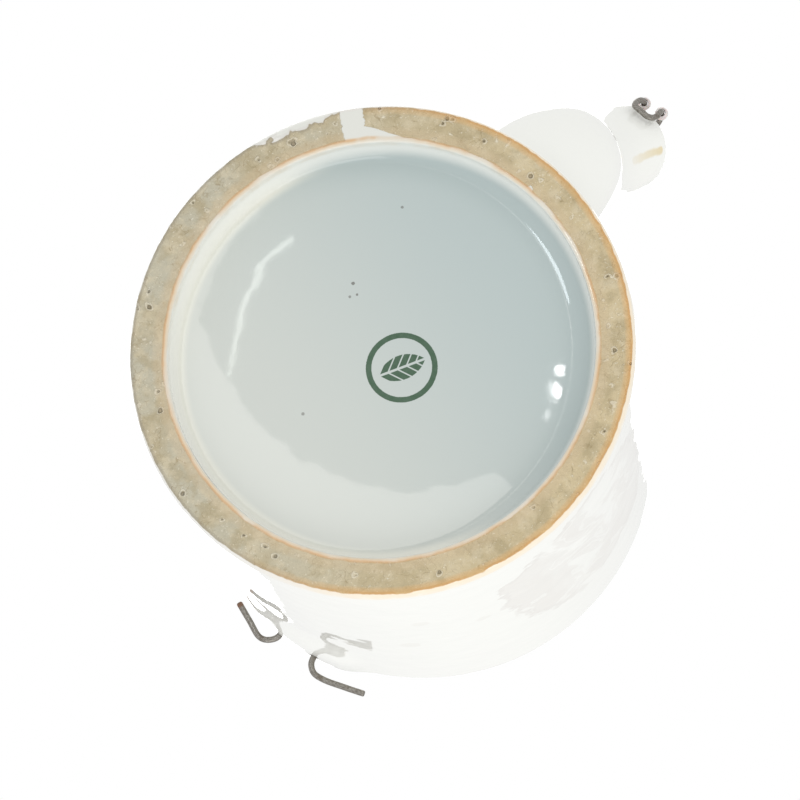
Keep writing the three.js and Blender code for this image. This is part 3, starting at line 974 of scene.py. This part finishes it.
def steel():
    g = Graph("drawn_steel_wire")
    lines = g.noise(1.0, 4, 0.6, where=g.vector("MULTIPLY", g.pos, (9.0, 2.0, 9.0)))
    dull = g.noise(0.6, 4, 0.6)
    rust = g.mul(g.fall(g.along(), 0.1, 1.6), g.rise(g.noise(1.4, 3), 0.35, 0.55))
    colour = g.coats(
        g.mix(g.rise(lines, 0.35, 0.7), srgb(118, 113, 106), srgb(168, 164, 157)),
        (g.rise(dull, 0.5, 0.72), 0.55, (104, 92, 78)),
        (rust, 0.7, (132, 84, 52)),
    )
    metal = g.sub(0.95, g.mul(rust, 0.5))
    roughness = g.add(0.30, g.mul(dull, 0.22), g.mul(rust, 0.2))
    normal = g.bump(g.add(lines, g.mul(dull, 0.5)), 0.03)
    return g.finish(Base_Color=colour, Metallic=metal, Roughness=roughness, Normal=normal)


def bamboo():
    g = Graph("split_bamboo")
    along = g.along()
    fibre = g.noise(1.0, 5, 0.6, where=g.combine(g.mul(along, 0.06), g.mul(g.y, 3.2), g.mul(g.z, 0.05)))
    hair = g.noise(1.0, 4, 0.7, where=g.combine(g.mul(along, 0.35), g.mul(g.y, 11.0), 4.0))
    colour = g.coats(
        g.mix(g.rise(fibre, 0.3, 0.7), srgb(146, 104, 56), srgb(190, 149, 92)),
        (g.rise(hair, 0.5, 0.7), 0.5, (116, 78, 40)),
        (g.noise(0.10, 3), 0.35, (168, 116, 58)),
    )
    total = handle_line(50)[1][-1]
    for node in BAMBOO_NODES:
        joint = g.bump_at(along, node * total + 0.5, 0.55)
        bloom = g.bump_at(along, node * total + 1.5, 1.0)
        colour = g.coats(colour, (joint, 0.75, (92, 60, 30)), (bloom, 0.35, (205, 178, 132)))
    roughness = g.add(0.32, g.mul(hair, 0.25))
    normal = g.bump(g.add(g.mul(fibre, 0.6), hair), 0.06)
    return g.finish(Base_Color=colour, Roughness=roughness, Normal=normal)


def cane():
    g = Graph("split_cane")
    turn = g.along()
    shade = g.noise(1.0, 2, where=g.combine(g.mul(turn, 0.9), 0.0, 7.0))
    fibre = g.noise(1.0, 4, 0.65, where=g.combine(g.mul(turn, 1.6), g.mul(g.x, 5.0), g.mul(g.z, 5.0)))
    worn = g.rise(g.noise(0.25, 3), 0.5, 0.72)
    colour = g.coats(
        g.mix(g.rise(shade, 0.3, 0.7), srgb(178, 133, 76), srgb(212, 174, 116)),
        (g.rise(fibre, 0.48, 0.68), 0.5, (142, 98, 50)),
        (worn, 0.4, (158, 114, 64)),
    )
    roughness = g.add(0.30, g.mul(fibre, 0.25))
    return g.finish(Base_Color=colour, Roughness=roughness, Normal=g.bump(fibre, 0.05))


def bead():
    g = Graph("pale_bead")
    cloud = g.noise(1.2, 4, 0.6)
    colour = g.mix(g.rise(cloud, 0.35, 0.65), srgb(233, 224, 221), srgb(216, 203, 199))
    # greyer towards both ends of the bore
    mid_band = g.fall(g.size(g.sub(g.z, BEAD_Z)), 0.75, 0.9)
    colour = g.coats(colour, (g.inverse(mid_band), 0.4, (170, 158, 148)))
    return g.finish(
        Base_Color=colour,
        Roughness=g.add(0.22, g.mul(cloud, 0.2)),
        Normal=g.bump(g.noise(3.0, 3), 0.02),
        Subsurface_Weight=0.1,
        Subsurface_Scale=0.001,
    )


# Places on the jug, in millimetres about its axis.
GAP_AZIMUTH, GAP_HALF_DEGREES = -40.2, 2.7  # where the glaze crosses the unglazed ring
WEDGE_DEPTH, WEDGE_DEGREES = 2.4, 13.0
SCALLOPS_FROM, SCALLOPS_TO = (-66, -59), (-45.5, -43)  # azimuths where the outer line is scalloped
MARGIN_AZIMUTH = 15  # where the outer line lies furthest in
# the glaze in the recess: pooled glaze darkened with painted shade, its pale and its deep end
POOLED_SHADED_PALE, POOLED_SHADED_DEEP = srgb(207, 211, 205), srgb(184, 196, 195)
GLAZE_CHIP = (30.3, 5.4, 0.2)
MARK, MARK_TURN = (-0.2, 3.2), 37.0
MARK_RING_RADIUS, LEAF_OFFSET, LEAF_RADIUS = 4.7, 2.6, 4.4
WASH_AZIMUTH, WASH_Z, WASH_HALF_WIDTH, WASH_HALF_HEIGHT = 94, 27, 17.5, 24
WALL_RADIUS, WALL_MM_PER_DEGREE = 35.3, 0.62
KILN_SPECKS = [  # x, y, radius, darkness
    (6.5, -9.5, 0.22, 0.75),
    (4.6, -8.8, 0.18, 0.6),
    (5.4, -8.1, 0.15, 0.7),
    (19.6, -9.7, 0.18, 0.6),
    (-13.2, -5.0, 0.20, 0.55),
]
DRIP = ((60.0, 5.2, 60.9), (54.3, 4.3, 52.7))  # the dribble under the lip, from end to end
FADED_SPOTS = [(141, 21, 1.0), (146, 36.5, 1.3), (127, 27.5, 0.8)]  # azimuth, height, radius

LOOKS = {"porcelain": porcelain(), "bamboo": bamboo(), "cane": cane(), "steel_wire": steel(), "bead": bead()}
dressed = [(piece, slot) for piece, node, slot in PIECES]
dressed += [(node, "porcelain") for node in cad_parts.values()]
for obj, slot in dressed:
    obj.data.materials.clear()
    obj.data.materials.append(LOOKS[slot])

# ---- stage, light and camera ----


def make_floor():
    """A pale floor for the views from above. From below it is clear, so that it never hides the foot."""
    half = 4000.0
    corners = [(-half, -half, 0), (half, -half, 0), (half, half, 0), (-half, half, 0)]
    obj = make_object("floor", corners, [(0, 1, 2, 3)])
    obj.location.z = -0.05 * MM  # a hair lower than the foot
    material = bpy.data.materials.new("pale_floor")
    nodes = Nodes(material)
    pale = nodes.node("BsdfPrincipled", {"Base Color": srgb(228, 228, 226), "Roughness": 0.6})[0]
    clear = nodes.node("BsdfTransparent", {})[0]
    from_below = nodes.node("NewGeometry", {})["Backfacing"]
    nodes.node("OutputMaterial", {0: nodes.node("MixShader", {0: from_below, 1: pale, 2: clear})[0]})
    obj.data.materials.append(material)
    obj.visible_shadow = obj.visible_diffuse = obj.visible_glossy = False
    obj.visible_transmission = False


def make_world():
    """White behind the jug; as a light, even all round and a touch brighter from below."""
    world = bpy.data.worlds.new("studio")
    bpy.context.scene.world = world
    nodes = Nodes(world)
    height = nodes.node("SeparateXYZ", {0: nodes.node("TexCoord", {})["Generated"]})[2]
    share = nodes.node("MapRange", {"Value": height, "From Min": -HORIZON, "From Max": HORIZON})[0]
    light = nodes.mix(share, WORLD_BELOW, WORLD_ABOVE)
    shown = nodes.mix(nodes.node("LightPath", {})["Is Camera Ray"], light, (1, 1, 1))
    nodes.node("OutputWorld", {0: nodes.node("Background", {0: shown, 1: 1.0})[0]})


def card(name, corners, colour):
    """A glowing card below the jug, level at CARD_Z, that only shows as a reflection in the glaze."""
    points = [(x, y, CARD_Z) for x, y in corners]
    obj = make_object(name, points, [tuple(range(len(points)))], smooth=False)
    material = bpy.data.materials.new(name)
    nodes = Nodes(material)
    nodes.node("OutputMaterial", {0: nodes.node("Emission", {0: colour})[0]})
    obj.data.materials.append(material)
    obj.visible_camera = obj.visible_shadow = obj.visible_diffuse = obj.visible_transmission = False


def ribbon(line, width):
    """The outline of a narrow band along a line of points."""
    path = np.array(line, dtype=float)
    ahead = np.gradient(path, axis=0)
    across = np.stack([-ahead[:, 1], ahead[:, 0]], axis=1)
    across /= np.linalg.norm(across, axis=1)[:, None]
    swell = width / 2 * np.sin(np.linspace(0.15, 0.93, len(path)) * math.pi)[:, None] ** 0.5
    return [*map(tuple, path + across * swell), *map(tuple, (path - across * swell)[::-1])]


def oval(x, y, long, short, turn):
    a = np.radians(np.arange(0, 360, 15))
    c, s = math.cos(math.radians(turn)), math.sin(math.radians(turn))
    u, v = long / 2 * np.cos(a), short / 2 * np.sin(a)
    return [(x + p * c - q * s, y + p * s + q * c) for p, q in zip(u, v)]


def lamp(name, place_mm, aim_mm, size_mm, power, colour=(1, 1, 1)):
    data = bpy.data.lights.new(name, "AREA")
    data.shape = "RECTANGLE"
    data.size, data.size_y = size_mm[0] * MM, size_mm[1] * MM
    data.energy, data.color = power, colour
    obj = add_object(name, data)
    obj.location = Vector(place([place_mm])[0])
    aim = Vector(place([aim_mm])[0])
    obj.rotation_mode = "QUATERNION"
    obj.rotation_quaternion = (aim - obj.location).to_track_quat("-Z", "Y")
    return obj


def make_camera():
    """Looks up at the underside, from TILT degrees off the jug's axis."""
    around = math.radians(CAMERA_AZIMUTH)
    away = np.array([math.cos(around), math.sin(around), 0.0])
    tilt, roll = math.radians(CAMERA_TILT), math.radians(CAMERA_ROLL)
    forward = math.cos(tilt) * np.array([0, 0, 1.0]) - math.sin(tilt) * away
    level = unit(np.cross(forward, [0, 0, 1.0]))
    upright = np.cross(level, forward)
    right = math.cos(roll) * level + math.sin(roll) * upright
    up = np.cross(right, forward)
    eye = -(FRAMING[0] * right + FRAMING[1] * up + CAMERA_DISTANCE * forward)
    data = bpy.data.cameras.new("camera")
    data.sensor_width, data.lens = 36.0, CAMERA_LENS
    data.clip_start, data.clip_end = 0.01, 20.0
    obj = add_object("camera", data)
    rotation = Matrix([[right[k], up[k], -forward[k]] for k in range(3)])
    obj.matrix_world = Matrix.Translation(Vector(place([eye])[0])) @ rotation.to_4x4()
    bpy.context.scene.camera = obj


CAMERA_TILT, CAMERA_AZIMUTH, CAMERA_ROLL = 15.75, 124.7, 157.2
CAMERA_DISTANCE, CAMERA_LENS = 600.0, 192.6
FRAMING = (-2.75, 7.42)  # where the middle of the foot sits across and up the picture, in mm
WORLD_BELOW = (0.92, 0.925, 0.925)
WORLD_ABOVE = (0.86, 0.86, 0.86)
HORIZON = 0.16  # height of a direction at which the light from above or below is complete
CARD_Z = -500.0
WINDOW = [  # a pale window, seen in the bottom of the recess as a crescent
    (117, -170), (105, -171), (93, -173), (87, -174), (67, -170), (56, -152), (51, -140), (50, -124),
    (52, -109), (55, -99), (59, -92), (62, -92), (66, -86), (75, -79), (72, -73), (66, -63),
    (44, -73), (30, -95), (26, -125), (30, -151), (48, -179), (84, -195), (122, -189),
]
SIDE_WINDOW = [
    (-31, -160), (8, -158), (25, -166), (22, -186), (5, -214), (-40, -262), (-95, -262), (-80, -200),
]
SKYLIGHT = [(99, -160), (97, -160), (93, -162), (88, -163), (81, -162), (74, -160), (66, -157), (58, -154)]

make_floor()
make_world()
make_camera()
lamp("overhead", (150, -250, 600), (0, 0, 40), (500, 500), 1.4)
lamp("low_key", (-350, 350, -250), (0, 0, 30), (400, 400), 0.75)
card("window_card", WINDOW, (3.1, 3.0, 2.9))
card("side_window_card", SIDE_WINDOW, (8.5, 9.2, 9.6))
card("skylight_card", ribbon(SKYLIGHT, 1.5), (6.5, 6.8, 6.4))
card("bulb_card_1", oval(106, -79.5, 4.0, 2.1, 155), (34, 34, 34))
card("bulb_card_2", oval(100, -77.5, 3.9, 2.1, 150), (34, 34, 34))
card("bulb_card_3", oval(94, -75.5, 4.5, 0.9, 160), (10, 10, 10))
bpy.context.scene.view_settings.view_transform = "Standard"
